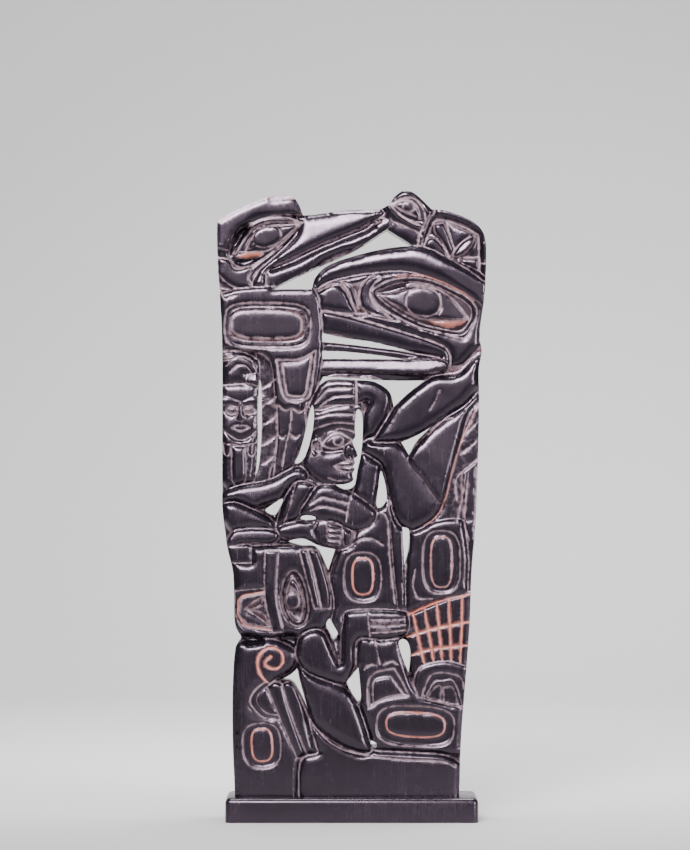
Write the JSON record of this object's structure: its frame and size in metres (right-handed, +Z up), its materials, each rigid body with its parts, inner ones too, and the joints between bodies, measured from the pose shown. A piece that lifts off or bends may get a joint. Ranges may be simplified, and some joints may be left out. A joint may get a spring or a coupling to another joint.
{
  "type": "openwork panel pole",
  "caption": "Small black stone totem pole: a flat slab pierced and carved in relief with birds, a whale and crouching figures, on a low plain base",
  "frame": {"origin": "centre of the bounding box's bottom face, where the base stands", "axes": "+Z up along the pole, the carved front faces -Y, +X to the right as seen from the front"},
  "size_m": [0.1194, 0.034, 0.28],
  "materials": {
    "black_stone": "polished near-black stone with a bluish cast, pale pinkish dust in the cuts"
  },
  "bodies": {
    "root": {"totem_pole": "black_stone"}
  },
  "joints": []
}
